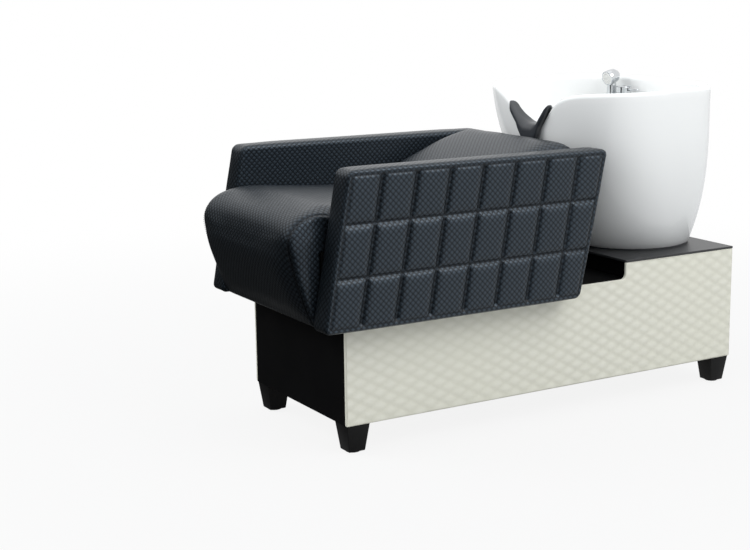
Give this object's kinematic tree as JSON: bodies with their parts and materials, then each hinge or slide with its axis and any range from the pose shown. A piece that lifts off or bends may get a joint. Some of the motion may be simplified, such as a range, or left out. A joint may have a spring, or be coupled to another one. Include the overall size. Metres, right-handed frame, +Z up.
{
  "type": "shampoo chair",
  "caption": "Salon shampoo unit: quilted lounge seat on a low leatherette base with a tall ceramic basin behind, rubber neck rest, lever mixer and hand sprayer.",
  "frame": {"origin": "on the floor, under the middle of the whole object", "axes": "+Z up, -Y the way the sitter faces, +Y towards the basin, +X the sitter's left"},
  "size_m": [0.624, 1.351, 0.8496],
  "materials": {
    "cream_leatherette": "satin",
    "black_leatherette": "satin",
    "foam_filled_leatherette": "satin",
    "black_board": "matte",
    "laminate": "satin",
    "plywood": "matte",
    "black_legs": "satin",
    "zinc_steel": "satin",
    "glazed_white": "gloss",
    "chrome": "polished",
    "brass": "satin",
    "black_rubber": "satin",
    "white_plastic": "matte",
    "black_plastic": "matte"
  },
  "bodies": {
    "chair": {"side_cover_left": "cream_leatherette", "side_cover_right": "cream_leatherette", "side_board_left": "plywood", "side_board_right": "plywood", "front_panel": "black_board", "rear_panel": "black_board", "rear_panel_screws": "zinc_steel", "seat_deck": "black_board", "riser_panel": "black_board", "cross_rail": "plywood", "basin_shelf": "black_board", "basin_board": "laminate", "corner_blocks": "plywood", "leg_front_left": "black_legs", "leg_front_right": "black_legs", "leg_rear_left": "black_legs", "leg_rear_right": "black_legs", "leg_bolts": "zinc_steel", "leg_glides": "black_plastic", "seat_floor_board": "plywood", "seat_front_board": "black_board", "seat_top_board": "black_board", "seat_side_board_left": "black_board", "seat_side_board_right": "black_board", "back_board": "black_leatherette", "seat_screws": "zinc_steel", "arm_core_left": "plywood", "arm_core_right": "plywood", "arm_pad_left": "foam_filled_leatherette", "arm_pad_right": "foam_filled_leatherette", "arm_bolts": "zinc_steel", "seat_cushion": "foam_filled_leatherette", "back_cushion": "foam_filled_leatherette", "basin": "glazed_white", "foot_seal": "black_rubber", "drain_flange": "chrome", "drain_gasket": "black_rubber", "drain_nut": "brass", "trap_body": "white_plastic", "trap_cup": "white_plastic", "waste_pipe": "white_plastic", "mixer_body": "chrome", "mixer_inlets": "brass", "mixer_gasket": "black_rubber", "mixer_nut": "brass", "mixer_cartridge": "white_plastic", "sprayer_holder": "chrome", "holder_gasket": "black_rubber", "holder_nut": "brass"},
    "lever_hub": {"lever_hub": "chrome", "lever_pin": "zinc_steel"},
    "mixer_lever": {"mixer_lever": "chrome"},
    "sprayer": {"sprayer_handle": "chrome", "sprayer_head": "chrome", "spray_plate": "white_plastic"},
    "neck_rest": {"neck_rest": "black_rubber"},
    "hair_strainer": {"hair_strainer": "chrome"}
  },
  "joints": [
    {"name": "lever_swivel", "type": "hinge", "parent": "chair", "child": "lever_hub", "pos_m": [-0.102, 0.561, 0.78463], "axis": [0, 0, 1], "range_deg": [-30, 30]},
    {"name": "lever_tilt", "type": "hinge", "parent": "lever_hub", "child": "mixer_lever", "pos_m": [-0.102, 0.561, 0.79543], "axis": [0, -1, 0], "range_deg": [0, 25]},
    {"name": "sprayer_lift", "type": "slide", "parent": "chair", "child": "sprayer", "axis": [0, 0, 1], "range_m": [0, 0.12]},
    {"name": "neck_rest_pull", "type": "slide", "parent": "chair", "child": "neck_rest", "axis": [0, 0, 1], "range_m": [0, 0.06]},
    {"name": "strainer_lift", "type": "slide", "parent": "chair", "child": "hair_strainer", "axis": [0, 0, 1], "range_m": [0, 0.12]}
  ]
}
